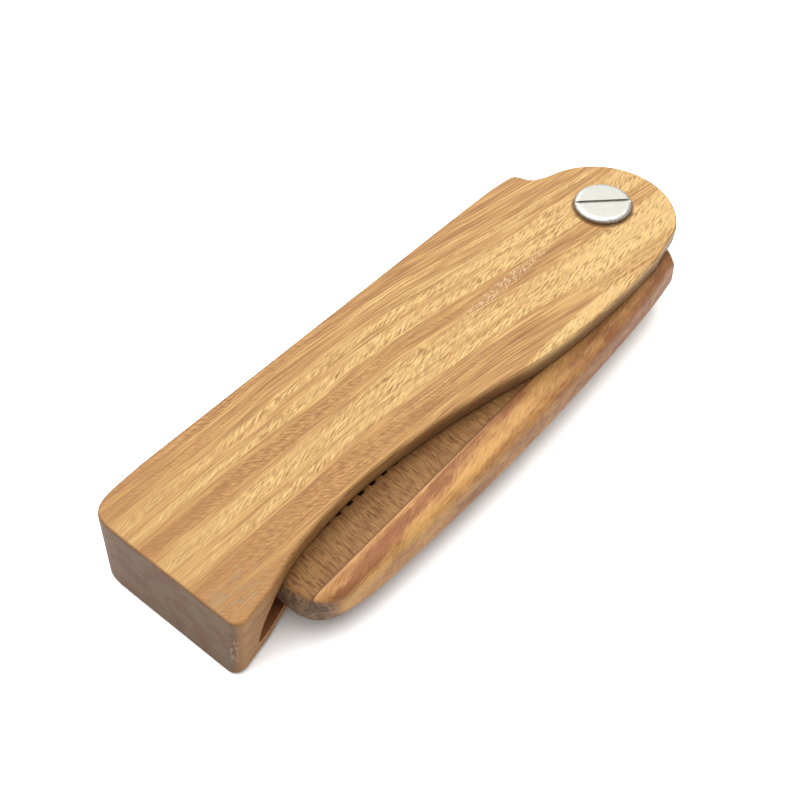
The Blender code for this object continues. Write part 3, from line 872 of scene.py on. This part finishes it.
def handle_under_edge(x, y):
    """The base end and the back are barely rounded, and the front is rounded for the fingers."""
    from_base = ease(x, 0, BASE_FRONT_RADIUS)
    to_front = ease(y, GRIP_START_Y, GRIP_FULL_Y)
    return HANDLE_UNDER_EDGE + (GRIP_EDGE - HANDLE_UNDER_EDGE) * from_base * to_front


def comb_edge(x, y, spine, tip):
    """The comb's rim: one radius along the spine, another round the tip end, and a small one inside."""
    to_spine = ease(x, *SPINE_START_X)
    at_back = ease(y, seam_y(x), seam_y(x) - MM) * ease(x, *HEEL_FADE_X)
    at_tip_end = ease(x, TIP_FADE_X, TIP_END_X) * ease(y, *TIP_FADE_Y)
    return INNER_EDGE + (tip + (spine - tip) * to_spine - INNER_EDGE) * max(at_back, at_tip_end)


def comb_top_edge(x, y):
    return comb_edge(x, y, SPINE_TOP_EDGE, TIP_TOP_EDGE)


def comb_under_edge(x, y):
    return comb_edge(x, y, SPINE_UNDER_EDGE, TIP_UNDER_EDGE)


def make_handle():
    handle = rounded_slab("handle_wooden_body", handle_outline(), 0.0, HANDLE_THICK,
                          handle_under_edge, handle_top_edge, handle_wood())
    lean_front(handle)
    cut(handle, slot_cutter())
    cut(handle, back_opening_cutter())
    cut(handle, pivot_hole("handle_hole_cutter"))
    return settle(handle)


def comb_blank(name, material):
    """The whole comb, shaped as one board before it is divided along its glue lines."""
    return rounded_slab(name, comb_outline(), COMB_LOW, COMB_LOW + COMB_THICK,
                        comb_under_edge, comb_top_edge, material)


def make_spine():
    spine = comb_blank("comb_long_grain_spine", spine_wood())
    cut(spine, prism("blank_space_cutter", blank_outline(SEAM_GAP), -REACH, REACH))
    cut(spine, pivot_hole("spine_hole_cutter"))
    return settle(spine)


def wedge_cutter():
    """The blank's side profile: full thickness at the seam, thinner at the tooth tips."""
    middle = HANDLE_THICK / 2
    full = SLOT_HEIGHT / 2
    tip = TIP_THICK / 2
    past = 2 * MM
    profile = [(SEAM_TIP_Y - past, full), (TAPER_START_Y, full), (TOOTH_TIP_Y + past / 2, tip)]
    side = [(y, middle + half) for y, half in profile]
    side += [(y, middle - half) for y, half in reversed(profile)]
    return extruded("wedge_cutter", [place(0, y, z) for y, z in side], (HANDLE_LENGTH, 0, 0))


def gaps_cutter():
    gaps = [prism("gap", gap_outline(FIRST_GAP_X + i * TOOTH_PITCH), -REACH, REACH)
            for i in range(GAP_COUNT)]
    return joined("gaps_cutter", gaps)


def make_teeth():
    teeth = comb_blank("comb_toothed_blank", teeth_wood())
    cut(teeth, prism("blank_area_cutter", blank_outline(0.0), -REACH, REACH), "INTERSECT")
    cut(teeth, wedge_cutter(), "INTERSECT")
    cut(teeth, gaps_cutter())
    return settle(teeth)


def head_profile(seat, face, inward):
    """A flat head's outside, from its seat to its face, with a rounded bevel. inward points at the wood."""
    rim = HEAD_RADIUS - HEAD_BEVEL_WIDTH
    foot = face + inward * HEAD_BEVEL_HEIGHT
    angles = [math.radians(90 * i / HEAD_STEPS) for i in range(HEAD_STEPS + 1)]
    bevel = [(rim + HEAD_BEVEL_WIDTH * math.cos(a), foot - inward * HEAD_BEVEL_HEIGHT * math.sin(a))
             for a in angles]
    return [(HEAD_RADIUS - HEAD_FOOT, seat), (HEAD_RADIUS, seat - inward * HEAD_FOOT)] + bevel + [(0, face)]


def make_post():
    """The female half of the binding post: a flat slotted head below and a bored barrel."""
    profile = list(reversed(head_profile(-SEAT, -BELOW_HANDLE, 1)))
    profile += [(BARREL_RADIUS, -SEAT), (BARREL_RADIUS, BARREL_TOP_Z), (BARREL_BORE, BARREL_TOP_Z),
                (BARREL_BORE, BARREL_FLOOR_Z), (0, BARREL_FLOOR_Z)]
    post = turned("binding_post", profile, nickel("post_nickel"))
    cut(post, drive_slot("post_slot_cutter", POST_SLOT_ANGLE, -REACH, -BELOW_HANDLE + DRIVE_SLOT_DEPTH))
    return settle(post, METAL_SHARP_ANGLE)


def make_screw():
    """The male half: a flat slotted head on top and a shank inside the barrel."""
    profile = [(0, SHANK_END_Z), (SHANK_RADIUS - SHANK_CHAMFER, SHANK_END_Z),
               (SHANK_RADIUS, SHANK_END_Z + SHANK_CHAMFER), (SHANK_RADIUS, HANDLE_THICK + SEAT)]
    profile += head_profile(HANDLE_THICK + SEAT, HEAD_TOP, -1)
    screw = turned("binding_screw", profile, nickel("screw_nickel"))
    cut(screw, drive_slot("screw_slot_cutter", SCREW_SLOT_ANGLE, HEAD_TOP - DRIVE_SLOT_DEPTH,
                          HEAD_TOP + REACH))
    return settle(screw, METAL_SHARP_ANGLE)


def show(piece, node, body):
    """Puts a piece in the place of its CAD node."""
    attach(piece, body)
    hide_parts(node)


# ---------------------------------------------------------------- camera, light and floor


def make_camera():
    elevation = math.radians(CAMERA_ELEVATION)
    azimuth = math.radians(CAMERA_AZIMUTH)
    roll = math.radians(CAMERA_ROLL)
    back = Vector((math.cos(azimuth) * math.cos(elevation), math.sin(azimuth) * math.cos(elevation),
                   math.sin(elevation)))
    right = Vector((0, 0, 1)).cross(back).normalized()
    up = back.cross(right)
    across = right * math.cos(roll) + up * math.sin(roll)
    above = up * math.cos(roll) - right * math.sin(roll)
    data = bpy.data.cameras.new("camera")
    data.sensor_width = 36.0
    data.lens = LENS
    data.clip_start = 0.001
    camera = bpy.data.objects.new("camera", data)
    camera.matrix_world = Matrix.Translation(LOOK_AT + back * CAMERA_DISTANCE) @ Matrix(
        (across, above, back)).transposed().to_4x4()
    bpy.context.scene.collection.objects.link(camera)
    bpy.context.scene.camera = camera


def make_light():
    data = bpy.data.lights.new("soft_overhead", "SUN")
    data.energy = SUN_STRENGTH
    data.angle = math.radians(SUN_ANGLE)
    light = bpy.data.objects.new("soft_overhead", data)
    light.rotation_euler = (math.radians(SUN_TILT[0]), math.radians(SUN_TILT[1]), 0.0)
    bpy.context.scene.collection.objects.link(light)
    world = bpy.data.worlds.new("studio")
    world.use_nodes = True
    background = world.node_tree.nodes["Background"]
    background.inputs["Color"].default_value = (1.0, 1.0, 1.0, 1.0)
    background.inputs["Strength"].default_value = FILL_STRENGTH
    bpy.context.scene.world = world
    bpy.context.scene.view_settings.view_transform = "Standard"


def make_floor():
    """A pale sheet that the object rests on: under the base end's lower edge and the lower head's rim."""
    rest_a = place(BASE_CONTACT_X, 0, 0)
    rest_b = place(PIVOT[0] - HEAD_RADIUS, 0, -BELOW_HANDLE)
    slope = (rest_b.z - rest_a.z) / (rest_b.x - rest_a.x)
    solid = bmesh.new()
    corners = [(-FLOOR_HALF, -FLOOR_HALF), (FLOOR_HALF, -FLOOR_HALF), (FLOOR_HALF, FLOOR_HALF),
               (-FLOOR_HALF, FLOOR_HALF)]
    solid.faces.new([solid.verts.new((x, y, rest_a.z + slope * (x - rest_a.x))) for x, y in corners])
    floor = add_object("floor", solid, floor_paper())


make_camera()
make_light()
make_floor()
show(make_handle(), "handle", "handle")
show(make_spine(), "comb_spine", "comb")
show(make_teeth(), "comb_teeth", "comb")
show(make_post(), "pivot_post", "handle")
show(make_screw(), "pivot_screw", "handle")
